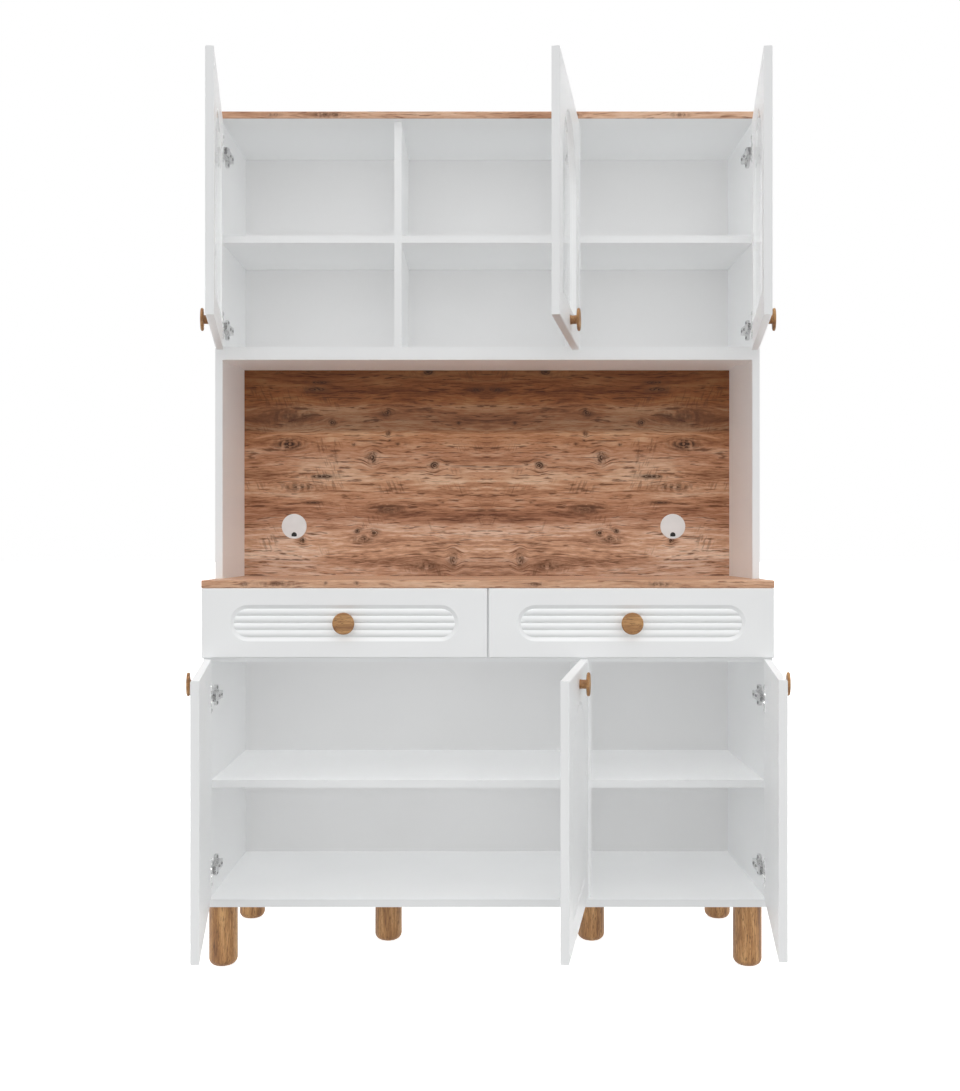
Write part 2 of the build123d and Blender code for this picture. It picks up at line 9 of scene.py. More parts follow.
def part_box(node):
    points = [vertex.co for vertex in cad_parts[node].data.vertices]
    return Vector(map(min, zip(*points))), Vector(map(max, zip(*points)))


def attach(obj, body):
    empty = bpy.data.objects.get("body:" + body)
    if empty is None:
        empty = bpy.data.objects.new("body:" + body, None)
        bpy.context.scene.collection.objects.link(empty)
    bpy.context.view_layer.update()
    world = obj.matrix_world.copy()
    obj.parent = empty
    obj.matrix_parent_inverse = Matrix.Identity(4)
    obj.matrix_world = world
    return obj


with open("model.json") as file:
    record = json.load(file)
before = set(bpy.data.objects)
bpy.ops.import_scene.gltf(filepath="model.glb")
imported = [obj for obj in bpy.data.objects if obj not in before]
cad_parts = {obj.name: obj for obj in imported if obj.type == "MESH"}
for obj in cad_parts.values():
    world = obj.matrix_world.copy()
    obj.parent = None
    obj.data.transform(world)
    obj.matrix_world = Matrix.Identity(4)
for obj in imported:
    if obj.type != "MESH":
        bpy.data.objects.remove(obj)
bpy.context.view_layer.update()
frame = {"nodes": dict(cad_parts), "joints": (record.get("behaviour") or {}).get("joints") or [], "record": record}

# The looks of a white kitchen hutch with wood-print panels, oak knobs and legs, and glazed doors.
# Everything is in metres: X to the right, Y towards the back, Z up, with the floor at zero.

MM = 0.001

# Sizes that repeat those of the cabinet
DOOR_OPEN_ANGLE = math.radians(80)
BASE_HINGE_LEVELS = (57 * MM, 419.5 * MM)
HUTCH_HINGE_LEVELS = (50.5 * MM, 436 * MM)
CUP_EDGE_DISTANCE = 22.5 * MM
CUP_FLANGE = 1.5 * MM
ARM_TOP = 13 * MM
PLATE_RISE = 6 * MM
PLATE_MIDDLE = 35 * MM
SLEEVE_BORE = 49.8 * MM
CAP_THICKNESS = 2 * MM

# Each kind of hinge: its pivot's distances from the door's hinge edge and from its inner face
SIDE_HINGE = (6.25 * MM, 14.25 * MM)
MIDDLE_HINGE = (3.3 * MM, 10.7 * MM)

# Sizes of the small pieces
CUP_SCREW_SPREAD = 24 * MM
PLATE_SCREW_SPREAD = 16.5 * MM
ARM_SCREW_SETBACKS = (24 * MM, 46 * MM)
HINGE_SCREW_RADIUS = 3.6 * MM
ARM_SCREW_RADIUS = 3.2 * MM
HINGE_SCREW_HEIGHT = 1.6 * MM
KNOB_SCREW_RADIUS = 4.5 * MM
KNOB_SCREW_HEIGHT = 2.4 * MM
CAP_RADIUS = 6 * MM
CAP_HEIGHT = 0.8 * MM
NAIL_RADIUS = 2.5 * MM
NAIL_HEIGHT = 0.4 * MM
NAIL_INSET = 8 * MM
NAIL_PITCH = 120 * MM
# The dark discs in the grommets, painted shade in their bores: thickness, and gap behind the cap
SHADE_DISC_THICKNESS = 1 * MM
SHADE_DISC_GAP = 0.3 * MM
HEAD_TAPER = 0.8
SMOOTH_ANGLE = math.radians(40)
FLOOR_REACH = 60.0

# How far the wood print's grain sways, how far its boards wave along their edges, and how far its
# saw marks lean
GRAIN_SWAY = 0.05
BOARD_EDGE_SWAY = 0.012
SAW_SLANT = 0.35

# How far the oak's grain sways, and how fine its pattern is along the grain against across it
OAK_SWAY = 0.02
OAK_ALONG = 0.09

# The screw heads: their corners, and their forms as shares of the head's radius and height
SCREW_CORNERS = 12
CROSS_REACH = 0.62
CROSS_HALF_WIDTH = 0.17
CROWN_RADIUS = 0.75
RIM_HEIGHT = 0.4
RECESS_FLOOR = 0.2

# The way along which the points and faces of a small piece are sorted, so that each run gives the
# same file. It is oblique, so that no two of them lie equally far along it.
MESH_ORDER = Vector((1.0, math.sqrt(2), math.sqrt(3)))

# The photograph's camera: its place, and its lens and longer picture side in millimetres
CAMERA_PLACE = (-0.0164, -2.436, 0.887)
CAMERA_LENS = 38.4
CAMERA_PICTURE = 36.0

# Levels of the studio light: place from straight down to straight up, and strength
WORLD_LEVELS = ((0.0, 0.0), (0.5, 0.7), (1.0, 1.08))


# Materials

class Nodes:
    """A node tree in the making."""

    def __init__(self, tree):
        self.tree = tree

    def node(self, kind, inputs=(), **settings):
        made = self.tree.nodes.new(kind)
        for key, value in settings.items():
            setattr(made, key, value)
        for key, value in dict(inputs).items():
            self.give(made.inputs[key], value)
        return made

    def give(self, socket, value):
        """Links a socket to another node's output, or sets its value."""
        if isinstance(value, bpy.types.NodeSocket):
            self.tree.links.new(value, socket)
        else:
            socket.default_value = value

    def stretched(self, vector, scale, offset=(0, 0, 0)):
        """The vector times scale plus offset, each along its own axis."""
        inputs = {0: vector, 1: scale, 2: offset}
        return self.node("ShaderNodeVectorMath", inputs, operation="MULTIPLY_ADD").outputs[0]

    def scaled(self, vector, factor):
        inputs = {0: vector, "Scale": factor}
        return self.node("ShaderNodeVectorMath", inputs, operation="SCALE").outputs[0]

    def noise(self, vector, detail, scale=1.0, roughness=0.5, distortion=0.0):
        inputs = {
            "Vector": vector,
            "Scale": scale,
            "Detail": detail,
            "Roughness": roughness,
            "Distortion": distortion,
        }
        return self.node("ShaderNodeTexNoise", inputs).outputs["Fac"]

    def math(self, operation, a, b=0.0, clamp=False):
        inputs = {0: a, 1: b}
        return self.node("ShaderNodeMath", inputs, operation=operation, use_clamp=clamp).outputs[0]

    def sum(self, *parts):
        """The sum of several patterns, each taken this many times."""
        total, *rest = (self.math("MULTIPLY", pattern, times) for pattern, times in parts)
        for part in rest:
            total = self.math("ADD", total, part)
        return total

    def range(self, value, low, high, to_low=0.0, to_high=1.0, smooth=True):
        kind = "SMOOTHSTEP" if smooth else "LINEAR"
        inputs = {
            "Value": value,
            "From Min": low,
            "From Max": high,
            "To Min": to_low,
            "To Max": to_high,
        }
        return self.node("ShaderNodeMapRange", inputs, interpolation_type=kind).outputs["Result"]

    def ramp(self, value, stops):
        """A colour for each place along the value, given as (place, colour)."""
        made = self.node("ShaderNodeValToRGB", {"Fac": value})
        steps = made.color_ramp.elements
        while len(steps) < len(stops):
            steps.new(1.0)
        for step, (place, colour) in zip(steps, stops):
            step.position = place
            step.color = (*colour, 1.0)
        return made.outputs["Color"]

    def mix(self, share, first, second, blend="MIX"):
        made = self.node("ShaderNodeMix", data_type="RGBA", blend_type=blend)
        for index, value in ((0, share), (6, first), (7, second)):
            self.give(made.inputs[index], (*value, 1.0) if isinstance(value, tuple) else value)
        return made.outputs[2]


class Finish(Nodes):
    """A material in the making: its shader and the place on the object."""

    def __init__(self, name):
        self.material = bpy.data.materials.new(name)
        self.material.use_nodes = True
        super().__init__(self.material.node_tree)
        self.shader = self.tree.nodes["Principled BSDF"]
        self.place = self.node("ShaderNodeTexCoord").outputs["Object"]

    def stain(self, share, tone, colour, depth):
        """The tone with this share of a colour laid over it, itself dimmed to this depth."""
        return self.mix(share, tone, dimmed(colour, depth))

    def clouded(self, tone, depth, scale, detail=2.0):
        """The tone, dimmed to this depth between soft clouds."""
        cloud = self.noise(self.place, detail, scale)
        return self.mix(self.range(cloud, 0.3, 0.7), dimmed(tone, depth), tone)

    def sheen(self, pattern, roughness, less, more):
        """A roughness that follows a pattern, from this much less to this much more."""
        return self.range(pattern, 0.3, 0.7, roughness - less, roughness + more)

    def bump(self, height, distance, strength):
        inputs = {"Height": height, "Distance": distance, "Strength": strength}
        return self.node("ShaderNodeBump", inputs).outputs["Normal"]

    def set(self, **values):
        for key, value in values.items():
            self.give(self.shader.inputs[key.replace("_", " ")], value)


def dimmed(tone, depth):
    return tuple(c * depth for c in tone)


def srgb(red, green, blue):
    """A linear colour from its 0 to 255 screen values."""
    return tuple(
        c / 12.92 if c <= 0.04045 else ((c + 0.055) / 1.055) ** 2.4
        for c in (red / 255, green / 255, blue / 255)
    )


def white_laminate(name, tone, roughness):
    """Satin white melamine: an even tone, a faint cloudiness and a fine pebbled sheen."""
    finish = Finish(name)
    pebble = finish.noise(finish.place, scale=900.0, detail=2.0)
    finish.set(
        Base_Color=finish.clouded(tone, 0.97, 3.0),
        Roughness=finish.sheen(pebble, roughness, 0.04, 0.04),
        Normal=finish.bump(pebble, 0.05 * MM, 0.25),
    )
    return finish.material


def grain_parted(finish, place, knots):
    """The place bent round each knot, the distance to the nearest knot, and its darkness."""
    depth, nearest = 0.0, 9.0
    for x, z, half_length, half_height, darkness in knots:
        scale = (1 / half_length, 0.0, 1 / half_height)
        local = finish.stretched(place, scale, (-x * scale[0], 0.0, -z * scale[2]))
        length = finish.node("ShaderNodeVectorMath", {0: local}, operation="LENGTH")
        distance = length.outputs["Value"]
        pull = finish.range(distance, 0.4, 3.2, -0.75, 0.0)
        moved = finish.scaled(local, pull)
        place = finish.stretched(moved, (0.0, 0.0, half_height), place)
        nearest = finish.math("MINIMUM", nearest, distance)
        depth = finish.math("MAXIMUM", depth, finish.range(distance, 1.5, 0.35, 0.0, darkness))
    return place, nearest, depth


def mirrored_place(finish):
    """The place on the object, its right half mirrored onto the left."""
    sides = finish.node("ShaderNodeSeparateXYZ", {0: finish.place}).outputs
    left = finish.math("MULTIPLY", finish.math("ABSOLUTE", sides["X"]), -1.0)
    inputs = {0: left, 1: sides["Y"], 2: sides["Z"]}
    return finish.node("ShaderNodeCombineXYZ", inputs).outputs[0]


def with_boards_and_shade(finish, tone, place, height, sway, boards_and_shade, dark):
    """The tone with each board's own shade and painted shade by height, and slanting saw marks here and there."""
    edge = finish.math("ADD", height, finish.math("MULTIPLY", sway, BOARD_EDGE_SWAY))
    low, high = boards_and_shade[0][0], boards_and_shade[-1][0]
    stops = tuple(((z - low) / (high - low), colour) for z, colour in boards_and_shade)
    # This ramp's tones are partly the boards' own and partly painted shade, darker towards the top
    shade = finish.ramp(finish.range(edge, low, high, smooth=False), stops)
    tone = finish.mix(1.0, tone, shade, "MULTIPLY")
    inputs = {"Vector": place, "Angle": SAW_SLANT}
    slanted = finish.node("ShaderNodeVectorRotate", inputs, rotation_type="Y_AXIS").outputs[0]
    saw = finish.noise(finish.stretched(slanted, (190.0, 0.0, 28.0)), detail=2.0)
    where = finish.noise(finish.stretched(place, (9.0, 0.0, 14.0)), detail=1.0)
    sawn = finish.range(where, 0.56, 0.68, 0.0, 0.45)
    marks = finish.math("MULTIPLY", finish.range(saw, 0.5, 0.62), sawn)
    return finish.stain(marks, tone, dark, 0.35)


def with_knots(finish, tone, grain, nearest, depth, dark):
    """The tone with a dark halo round each knot, and its rings and ragged heart."""
    rough = finish.noise(finish.stretched(grain, (110.0, 110.0, 150.0)), detail=3.0)
    turn = finish.sum((nearest, 11.0), (rough, 9.0))
    rings = finish.range(finish.math("SINE", turn), -0.7, 0.7, 0.45, 1.1)
    ragged = finish.math("MULTIPLY", depth, finish.range(rough, 0.3, 0.58, 0.5, 1.35))
    inside = finish.math("MULTIPLY", ragged, rings, clamp=True)
    around = finish.range(nearest, 2.6, 1.0, 0.0, 0.4)
    halo = finish.math("MULTIPLY", around, finish.range(rough, 0.35, 0.6))
    tone = finish.stain(halo, tone, dark, 0.5)
    return finish.stain(inside, tone, dark, 0.16)


def wood_print(name, knots, boards_and_shade, tones, mirrored=False, underside=None):
    """Knotty wood decor, its grain along X: boards with painted shade by height, streaks, fibres, dashes, cracks
    and knots.
    """
    finish = Finish(name)
    flat = mirrored_place(finish) if mirrored else finish.place
    height = finish.node("ShaderNodeSeparateXYZ", {0: finish.place}).outputs["Z"]
    grain, nearest, depth = grain_parted(finish, flat, knots)

    sway = finish.noise(finish.stretched(grain, (2.2, 5.0, 5.0)), detail=1.0)
    lift = finish.node("ShaderNodeCombineXYZ", {2: sway}).outputs[0]
    swayed = finish.stretched(lift, (0.0, 0.0, GRAIN_SWAY), grain)

    def fibrous(scale, **settings):
        return finish.noise(finish.stretched(swayed, scale), **settings)

    patches = fibrous((3.5, 12.0, 22.0), detail=3.0)
    streaks = fibrous((9.0, 80.0, 110.0), detail=4.0, roughness=0.65)
    fibres = fibrous((30.0, 300.0, 300.0), detail=3.0, roughness=0.7)
    dashes = fibrous((26.0, 200.0, 240.0), detail=2.0, distortion=0.5)
    cracks = fibrous((9.0, 120.0, 170.0), detail=3.0, distortion=0.4)

    dark, middle, light = tones
    share = finish.sum((patches, 0.4), (streaks, 0.3), (fibres, 0.3))
    tone = finish.ramp(share, ((0.37, dark), (0.49, middle), (0.60, light)))
    tone = finish.stain(finish.range(dashes, 0.56, 0.70, 0.0, 0.8), tone, dark, 0.6)
    tone = finish.stain(finish.range(cracks, 0.64, 0.76, 0.0, 0.8), tone, dark, 0.35)
    # Board tones by height, which also carry painted shade that darkens towards the top
    if boards_and_shade:
        tone = with_boards_and_shade(finish, tone, flat, height, sway, boards_and_shade, dark)
    tone = with_knots(finish, tone, grain, nearest, depth, dark)
    if underside:
        level, plain = underside
        printed = finish.range(height, level + 0.1 * MM, level + 0.3 * MM)
        tone = finish.mix(printed, plain, tone)
    finish.set(
        Base_Color=tone,
        Specular_IOR_Level=0.2,
        Roughness=finish.sheen(fibres, 0.42, 0.05, 0.08),
        Normal=finish.bump(fibres, 0.08 * MM, 0.35),
    )
    return finish.material


def oak(name, along, tones):
    """Solid turned oak, oiled: growth lines and open pores along one axis."""
    finish = Finish(name)

    def along_grain(scale):
        return tuple(scale * (OAK_ALONG if axis == along else 1.0) for axis in "XYZ")

    bent = finish.noise(finish.stretched(finish.place, along_grain(14.0)), detail=2.0)
    same = finish.node("ShaderNodeCombineXYZ", {0: bent, 1: bent, 2: bent}).outputs[0]
    shift = finish.stretched(same, along_grain(OAK_SWAY), finish.place)
    lines = finish.noise(finish.stretched(shift, along_grain(260.0)), detail=4.0, roughness=0.6)
    growth = finish.noise(finish.stretched(shift, along_grain(70.0)), detail=2.0)
    pores = finish.noise(finish.stretched(shift, along_grain(900.0)), detail=1.0)
    dark, middle, light = tones
    share = finish.sum((lines, 0.5), (growth, 0.5))
    tone = finish.ramp(share, ((0.32, dark), (0.5, middle), (0.64, light)))
    tone = finish.stain(finish.range(pores, 0.57, 0.68, 0.0, 0.7), tone, dark, 0.45)
    finish.set(
        Base_Color=tone,
        Roughness=finish.sheen(lines, 0.5, 0.06, 0.1),
        Normal=finish.bump(lines, 0.15 * MM, 0.4),
    )
    return finish.material


def metal(name, tone, roughness):
    """Plated steel with a faint brushing and slightly uneven polish."""
    finish = Finish(name)
    brush = finish.noise(finish.place, scale=500.0, detail=2.0)
    finish.set(
        Base_Color=finish.clouded(tone, 0.85, 60.0),
        Metallic=1.0,
        Roughness=finish.sheen(brush, roughness, 0.06, 0.08),
        Normal=finish.bump(brush, 0.03 * MM, 0.3),
    )
    return finish.material


def glass(name):
    """Clear sheet glass with faint smears, kept light by a low alpha."""
    finish = Finish(name)
    smear = finish.noise(finish.place, scale=14.0, detail=3.0)
    finish.set(
        Base_Color=(0.97, 0.985, 0.98, 1.0),
        Roughness=finish.range(smear, 0.4, 0.8, 0.0, 0.03),
        IOR=1.45,
        Alpha=0.35,
        Transmission_Weight=1.0,
    )
    return finish.material


def plastic(name, tone, roughness):
    """Moulded plastic with a fine pebbled sheen."""
    finish = Finish(name)
    pebble = finish.noise(finish.place, scale=1500.0, detail=2.0)
    finish.set(
        Base_Color=finish.clouded(tone, 0.95, 40.0, detail=1.0),
        Roughness=finish.sheen(pebble, roughness, 0.05, 0.05),
        Normal=finish.bump(pebble, 0.04 * MM, 0.3),
    )
    return finish.material


# Knots of the niche's wood print: place along X and up Z, half length, half height, darkness.
# The print is mirrored about the middle, so only its left half is given.
NICHE_KNOTS = (
    (-0.4755, 1.1313, 0.028, 0.0110, 0.85),
    (-0.3726, 1.1831, 0.009, 0.0075, 0.95),
    (-0.2412, 1.2070, 0.0105, 0.0085, 0.9),
    (-0.1413, 1.3060, 0.012, 0.0080, 0.95),
    (-0.2374, 1.1563, 0.005, 0.0060, 0.8),
    (-0.2343, 1.1417, 0.003, 0.0030, 0.8),
    (-0.2143, 1.1313, 0.004, 0.0035, 0.8),
    (-0.3211, 1.1305, 0.004, 0.0035, 0.8),
    (-0.2758, 1.0986, 0.010, 0.0130, 0.75),
    (-0.1260, 1.0802, 0.010, 0.0085, 0.9),
    (-0.3968, 1.0533, 0.026, 0.0045, 0.8),
    (-0.0676, 1.1824, 0.004, 0.0040, 0.85),
    (-0.0200, 1.2619, 0.014, 0.0050, 0.7),
    (-0.4524, 1.0276, 0.034, 0.0080, 0.5),
    (-0.4025, 1.2799, 0.020, 0.0035, 0.8),
    (-0.4100, 1.2630, 0.022, 0.0050, 0.75),
    (-0.3120, 0.9220, 0.007, 0.0055, 0.8),
    (-0.2719, 0.9174, 0.010, 0.0070, 0.75),
    (-0.2988, 0.9035, 0.018, 0.0085, 0.55),
    (-0.4429, 0.8997, 0.008, 0.0065, 0.8),
    (-0.0799, 0.8528, 0.009, 0.0140, 0.7),
    (-0.1452, 0.8375, 0.022, 0.0080, 0.5),
    (-0.2354, 0.9738, 0.030, 0.0095, 0.4),
    (-0.4179, 0.9903, 0.018, 0.0030, 0.7),
    (-0.4750, 1.1980, 0.045, 0.0170, 0.35),
)
# Boards of the niche's wood print, from the bottom up: height and tone; the tones also hold painted shade, darkest
# at the top under the hutch
NICHE_BOARDS_AND_SHADE = (
    (0.814, (0.80, 0.82, 0.92)),
    (0.860, (0.77, 0.79, 0.88)),
    (0.868, (0.89, 0.94, 1.05)),
    (0.900, (0.89, 0.94, 1.05)),
    (0.935, (0.77, 0.75, 0.80)),
    (0.965, (0.57, 0.48, 0.46)),
    (0.990, (0.68, 0.60, 0.58)),
    (1.045, (0.75, 0.70, 0.68)),
    (1.110, (0.66, 0.57, 0.54)),
    (1.160, (0.67, 0.55, 0.45)),
    (1.170, (0.39, 0.31, 0.25)),
    (1.200, (0.36, 0.27, 0.21)),
    (1.225, (0.46, 0.36, 0.28)),
    (1.240, (0.39, 0.25, 0.14)),
    (1.309, (0.26, 0.16, 0.09)),
)
WALNUT_TONES = (srgb(137, 90, 60), srgb(220, 169, 130), srgb(255, 224, 192))
TOP_TONES = (srgb(168, 118, 88), srgb(207, 164, 135), srgb(227, 192, 165))
COUNTER_TONES = (srgb(160, 110, 80), srgb(201, 155, 124), srgb(222, 182, 152))
KNOB_TONES = (srgb(120, 76, 38), srgb(167, 120, 71), srgb(196, 151, 97))
LEG_TONES = (srgb(112, 69, 32), srgb(176, 126, 75), srgb(214, 166, 110))
TOP_KNOTS = (
    (-0.35, 1.829, 0.030, 0.0045, 0.6),
    (-0.47, 1.829, 0.012, 0.0030, 0.5),
    (0.18, 1.829, 0.022, 0.0040, 0.5),
    (0.42, 1.829, 0.014, 0.0035, 0.55),
)
COUNTER_KNOTS = (
    (-0.51, 0.806, 0.006, 0.0035, 0.6),
    (-0.44, 0.807, 0.030, 0.0045, 0.5),
    (-0.34, 0.808, 0.003, 0.0030, 0.6),
    (-0.275, 0.808, 0.004, 0.0035, 0.6),
    (0.10, 0.806, 0.012, 0.0035, 0.5),
    (0.36, 0.806, 0.020, 0.0040, 0.5),
)

WHITE = (0.872, 0.88, 0.883)
white = white_laminate("satin_white_board", WHITE, 0.38)
back_white = white_laminate("white_back_sheet", (0.86, 0.86, 0.86), 0.5)
niche_wood = wood_print("niche_wood_print", NICHE_KNOTS, NICHE_BOARDS_AND_SHADE, WALNUT_TONES, mirrored=True)
counter_wood = wood_print("counter_wood_print", COUNTER_KNOTS, (), COUNTER_TONES)
top_underside = (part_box("top_board")[0][2], WHITE)
top_wood = wood_print("top_wood_print", TOP_KNOTS, (), TOP_TONES, underside=top_underside)
leg_oak = oak("leg_oak", "Z", LEG_TONES)
drawer_knob_oak = oak("drawer_knob_oak", "X", KNOB_TONES)
door_knob_oak = oak("door_knob_oak", "Y", KNOB_TONES)
nickel = metal("nickel_plate", (0.70, 0.70, 0.70), 0.24)
zinc = metal("zinc_plate", (0.62, 0.63, 0.65), 0.4)
clear = glass("clear_glass_pane")
grommet_white = plastic("grommet_plastic", (0.84, 0.86, 0.87), 0.4)
# A near-black plastic, used only for the painted shade in the grommets' bores
painted_shade_plastic = plastic("painted_shade_black_plastic", (0.012, 0.012, 0.012), 0.6)
bright = metal("bright_screw_plate", (0.66, 0.66, 0.66), 0.28)
dark_steel = metal("dark_screw_plate", (0.29, 0.29, 0.29), 0.35)

SLOT_MATERIALS = {
    "white_laminate": white,
    "white_hardboard": back_white,
    "brown_wood_laminate": counter_wood,
    "oak": door_knob_oak,
    "clear_glass": clear,
    "nickel": nickel,
    "zinc_steel": zinc,
    "white_plastic": grommet_white,
}
NODE_MATERIALS = {
    "niche_back_panel": niche_wood,
    "top_board": top_wood,
    "legs": leg_oak,
    "left_drawer_knob": drawer_knob_oak,
    "right_drawer_knob": drawer_knob_oak,
}


def dress_nodes():
    """Gives each carried-over node the material of its slot, or its own."""
    for part in frame["record"]["subparts"]:
        name = part["node"]
        node = frame["nodes"][name]
        chosen = NODE_MATERIALS.get(name, SLOT_MATERIALS[part["material_slot"]])
        node.data.materials.clear()
        node.data.materials.append(chosen)


# Small pieces

def add_object(name, data):
    """A new object in the scene."""
    made = bpy.data.objects.new(name, data)
    bpy.context.scene.collection.objects.link(made)
    return made


def add_mesh(mesh, name, material):
    """Turns a finished bmesh into an object of one material."""
    data = bpy.data.meshes.new(name)
    mesh.to_mesh(data)
    mesh.free()
    data.materials.append(material)
    return add_object(name, data)


def keep(mesh, name, body, material):
    """Turns a finished bmesh into a piece that rides on a body."""
    bmesh.ops.recalc_face_normals(mesh, faces=mesh.faces[:])
    mesh.verts.sort(key=lambda vert: vert.co.dot(MESH_ORDER))
    mesh.faces.sort(key=lambda face: face.calc_center_median().dot(MESH_ORDER))
    piece = add_mesh(mesh, name, material)
    piece.data.shade_smooth()
    piece.data.set_sharp_from_angle(angle=SMOOTH_ANGLE)
    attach(piece, body)


def turn_of(point):
    """Where a point lies round the Z axis."""
    return math.atan2(point[1], point[0])


def cross(radius):
    """The corners of a cross recess in a screw head of the given radius."""
    arm, half = CROSS_REACH * radius, CROSS_HALF_WIDTH * radius
    corners = ((arm, -half), (arm, half), (half, half))
    turns = [Matrix.Rotation(quarter * math.pi / 2, 2) for quarter in range(4)]
    return sorted((turn @ Vector(corner) for turn in turns for corner in corners), key=turn_of)


def add_screw(mesh, stand, radius, height=HINGE_SCREW_HEIGHT):
    """A domed screw head with a cross recess, standing on the surface."""
    start = len(mesh.verts)
    half_step = Matrix.Rotation(math.pi / SCREW_CORNERS, 4, "Z")
    foot = bmesh.ops.create_circle(
        mesh, cap_ends=True, segments=SCREW_CORNERS, radius=radius, matrix=half_step
    )["verts"]
    face = foot[0].link_faces[0]
    rim = sorted((vert.co.xy.copy() for vert in foot), key=turn_of)
    crown = [CROWN_RADIUS * point for point in rim]
    recess = cross(radius)
    for outline, level in ((rim, RIM_HEIGHT), (crown, 1.0), (recess, 1.0), (recess, RECESS_FLOOR)):
        made = bmesh.ops.extrude_face_region(mesh, geom=[face])["geom"]
        if outline is not rim:
            bmesh.ops.delete(mesh, geom=[face], context="FACES_ONLY")
        face = next(part for part in made if isinstance(part, bmesh.types.BMFace))
        for vert, point in zip(sorted(face.verts, key=lambda vert: turn_of(vert.co)), outline):
            vert.co = (*point, level * height)
    mesh.verts.ensure_lookup_table()
    bmesh.ops.transform(mesh, matrix=stand, verts=mesh.verts[start:])


def add_disc(mesh, stand, radius, height, rim=1.0, sides=24):
    """A flat round head standing on the surface, its top narrowed to this share of its foot."""
    bmesh.ops.create_cone(
        mesh,
        cap_ends=True,
        segments=sides,
        radius1=radius,
        radius2=rim * radius,
        depth=height,
        matrix=stand @ Matrix.Translation((0, 0, height / 2)),
    )


def stand_at(place, out):
    """A frame at place whose Z points level out of the surface and whose X points up."""
    z = Vector(out).normalized()
    x = Vector((0, 0, 1))
    y = z.cross(x)
    turn = Matrix((x, y, z)).transposed().to_4x4()
    return Matrix.Translation(place) @ turn


class Door:
    """A door at rest: its pivot line, the ways along it and out of it, and its carcass wall."""

    def __init__(self, body, wall, levels, hinge=SIDE_HINGE):
        joint = next(j for j in frame["joints"] if j["child"] == body)
        self.body = body
        self.pivot = Vector(joint["pos_m"])
        self.reach = -joint["axis"][2]
        cosine, sine = math.cos(DOOR_OPEN_ANGLE), math.sin(DOOR_OPEN_ANGLE)
        self.along = Vector((cosine, -self.reach * sine, 0))
        self.out = Vector((-self.reach * sine, -cosine, 0))
        low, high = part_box(wall)
        self.wall_x = high[0] if self.reach > 0 else low[0]
        self.wall_front = low[1]
        self.levels = [self.pivot.z + level for level in levels]
        self.edge_distance, self.depth = hinge

    def inside(self, distance, level, rise=0.0):
        """A place over the inner face, this far from the hinge edge."""
        step = self.reach * (distance - self.edge_distance)
        place = self.pivot + self.along * step - self.out * (self.depth + rise)
        return Vector((place.x, place.y, level))

    def on_wall(self, setback, level, rise):
        return Vector((self.wall_x + self.reach * rise, self.wall_front + setback, level))


DOORS = [
    Door("lower_left_door", "lower_left_side", BASE_HINGE_LEVELS),
    Door("lower_middle_door", "lower_partition", BASE_HINGE_LEVELS, MIDDLE_HINGE),
    Door("lower_right_door", "lower_right_side", BASE_HINGE_LEVELS),
    Door("upper_left_door", "hutch_left_side", HUTCH_HINGE_LEVELS),
    Door("upper_middle_door", "upper_right_partition", HUTCH_HINGE_LEVELS, MIDDLE_HINGE),
    Door("upper_right_door", "hutch_right_side", HUTCH_HINGE_LEVELS),
]


def middle(node):
    low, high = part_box(node)
    return (Vector(low) + Vector(high)) / 2


def add_door_screws():
    """Two screws in the wings of each hinge cup."""
    for door in DOORS:
        mesh = bmesh.new()
        for level in door.levels:
            for side in (-1, 1):
                place = door.inside(CUP_EDGE_DISTANCE, level + side * CUP_SCREW_SPREAD, CUP_FLANGE)
                add_screw(mesh, stand_at(place, -door.out), HINGE_SCREW_RADIUS)
        keep(mesh, f"{door.body}_screws", door.body, bright)


def add_screw_caps():
    """A white cap over the screw that holds each door's knob."""
    for door in DOORS:
        mesh = bmesh.new()
        knob = middle(door.body.replace("_door", "_knob"))
        place = knob - door.out * ((knob - door.pivot).dot(door.out) + door.depth)
        add_disc(mesh, stand_at(place, -door.out), CAP_RADIUS, CAP_HEIGHT, HEAD_TAPER)
        keep(mesh, f"{door.body}_screw_cap", door.body, grommet_white)


def add_wall_screws():
    """The screws of the hinge plates and the two adjusting screws in each hinge arm."""
    mesh = bmesh.new()
    for door in DOORS:
        out = (door.reach, 0, 0)
        for level in door.levels:
            for side in (-1, 1):
                place = door.on_wall(PLATE_MIDDLE, level + side * PLATE_SCREW_SPREAD, PLATE_RISE)
                add_screw(mesh, stand_at(place, out), HINGE_SCREW_RADIUS)
            for setback in ARM_SCREW_SETBACKS:
                place = door.on_wall(setback, level, ARM_TOP)
                add_screw(mesh, stand_at(place, out), ARM_SCREW_RADIUS)
    keep(mesh, "hinge_plate_screws", "cabinet", dark_steel)


def add_drawer_screws():
    for side in ("left", "right"):
        mesh = bmesh.new()
        knob = middle(f"{side}_drawer_knob")
        place = (knob.x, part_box(f"{side}_drawer_front")[1][1], knob.z)
        add_screw(mesh, stand_at(place, (0, 1, 0)), KNOB_SCREW_RADIUS, KNOB_SCREW_HEIGHT)
        keep(mesh, f"{side}_drawer_knob_screw", f"{side}_drawer", bright)


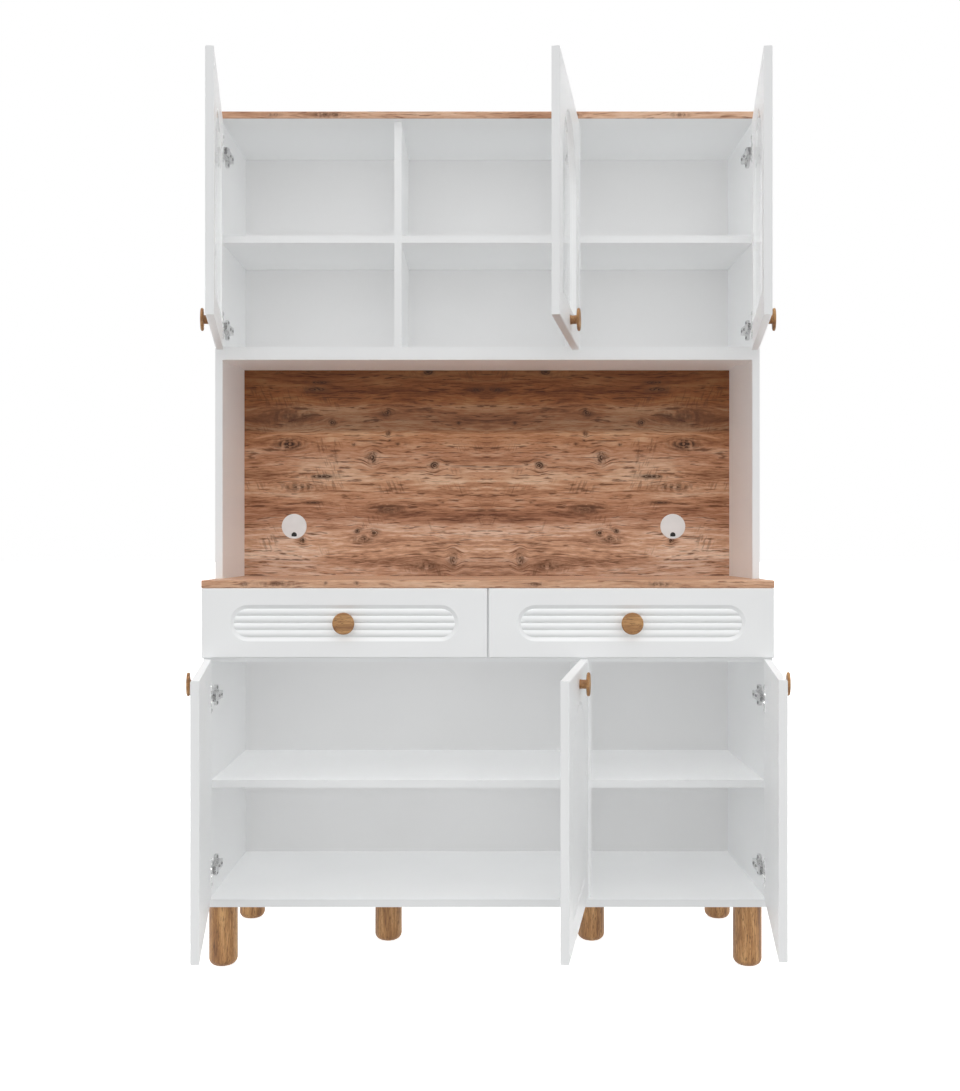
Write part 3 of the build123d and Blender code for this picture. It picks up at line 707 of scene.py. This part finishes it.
def add_back_nails():
    """Flat nail heads round the edge of both thin back sheets."""
    mesh = bmesh.new()
    for node in ("lower_back_panel", "upper_back_panel"):
        low, high = (Vector(corner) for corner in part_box(node))
        left, right = low.x + NAIL_INSET, high.x - NAIL_INSET
        bottom, top = low.z + NAIL_INSET, high.z - NAIL_INSET
        across = round((right - left) / NAIL_PITCH)
        up = round((top - bottom) / NAIL_PITCH)
        columns = [left + (right - left) * i / across for i in range(across + 1)]
        rows = [bottom + (top - bottom) * i / up for i in range(1, up)]
        places = [(x, z) for x in columns for z in (bottom, top)]
        places += [(x, z) for z in rows for x in (left, right)]
        for x, z in places:
            stand = stand_at((x, high.y, z), (0, 1, 0))
            add_disc(mesh, stand, NAIL_RADIUS, NAIL_HEIGHT, HEAD_TAPER, sides=8)
    keep(mesh, "back_sheet_nails", "cabinet", zinc)


def add_grommet_shade_discs():
    """A dark disc behind each grommet's cap: painted shade that darkens the grommet's bore."""
    low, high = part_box("cable_grommets")
    radius = (high[2] - low[2]) / 2
    mesh = bmesh.new()
    for x in (low[0] + radius, high[0] - radius):
        place = (x, low[1] + CAP_THICKNESS + SHADE_DISC_GAP, low[2] + radius)
        stand = stand_at(place, (0, 1, 0))
        add_disc(mesh, stand, SLEEVE_BORE / 2 - SHADE_DISC_GAP, SHADE_DISC_THICKNESS, sides=32)
    keep(mesh, "grommet_shade_discs", "cabinet", painted_shade_plastic)


# Floor, camera and light

def add_floor():
    """A wide pale floor under the cabinet, which throws no light back up on it."""
    mesh = bmesh.new()
    corners = ((-1, -1), (1, -1), (1, 1), (-1, 1))
    mesh.faces.new([mesh.verts.new((FLOOR_REACH * x, FLOOR_REACH * y, 0.0)) for x, y in corners])
    finish = Finish("pale_floor")
    finish.set(
        Base_Color=(0.96, 0.96, 0.96, 1.0),
        Roughness=0.8,
        Emission_Color=(1.0, 1.0, 1.0, 1.0),
        Emission_Strength=0.6,
    )
    floor = add_mesh(mesh, "floor", finish.material)
    floor.visible_diffuse = False


def set_camera():
    data = bpy.data.cameras.new("camera")
    data.lens = CAMERA_LENS
    data.sensor_width = CAMERA_PICTURE
    data.clip_start = 0.05
    camera = add_object("camera", data)
    camera.location = CAMERA_PLACE
    camera.rotation_euler = (math.pi / 2, 0, 0)
    bpy.context.scene.camera = camera


def set_world():
    """Soft studio light, strongest from above, before a plain white background."""
    world = bpy.data.worlds.new("studio")
    world.use_nodes = True
    sky = Nodes(world.node_tree)
    light = sky.tree.nodes["Background"]
    direction = sky.node("ShaderNodeTexCoord").outputs["Generated"]
    height = sky.node("ShaderNodeSeparateXYZ", {0: direction}).outputs["Z"]
    stops = [(place, (level, level, level)) for place, level in WORLD_LEVELS]
    strength = sky.ramp(sky.range(height, -1.0, 1.0, smooth=False), stops)
    sky.give(light.inputs["Color"], strength)
    plain = sky.node("ShaderNodeBackground", {"Color": (1.0, 1.0, 1.0, 1.0)})
    path = sky.node("ShaderNodeLightPath").outputs
    seen = sky.math("MAXIMUM", path["Is Camera Ray"], path["Is Transmission Ray"])
    inputs = {0: seen, 1: light.outputs[0], 2: plain.outputs[0]}
    chosen = sky.node("ShaderNodeMixShader", inputs)
    sky.give(sky.tree.nodes["World Output"].inputs["Surface"], chosen.outputs[0])
    bpy.context.scene.world = world
    bpy.context.scene.view_settings.view_transform = "Standard"


def add_far_light(name, elevation, spread, strength, shadows=True):
    """A very large lamp far away, in front at this many degrees above the horizon."""
    data = bpy.data.lights.new(name, "SUN")
    data.angle = math.radians(spread)
    data.energy = strength
    data.use_shadow = data.cycles.use_multiple_importance_sampling = shadows
    lamp = add_object(name, data)
    lamp.rotation_euler = (math.radians(90 - elevation), 0, 0)


add_floor()
set_camera()
set_world()
add_far_light("front_light", elevation=13, spread=70, strength=0.3)
add_far_light("high_light", elevation=60, spread=20, strength=0.53, shadows=False)
add_far_light("fill_behind", elevation=180, spread=180, strength=0.5, shadows=False)
dress_nodes()
add_door_screws()
add_screw_caps()
add_wall_screws()
add_drawer_screws()
add_back_nails()
add_grommet_shade_discs()
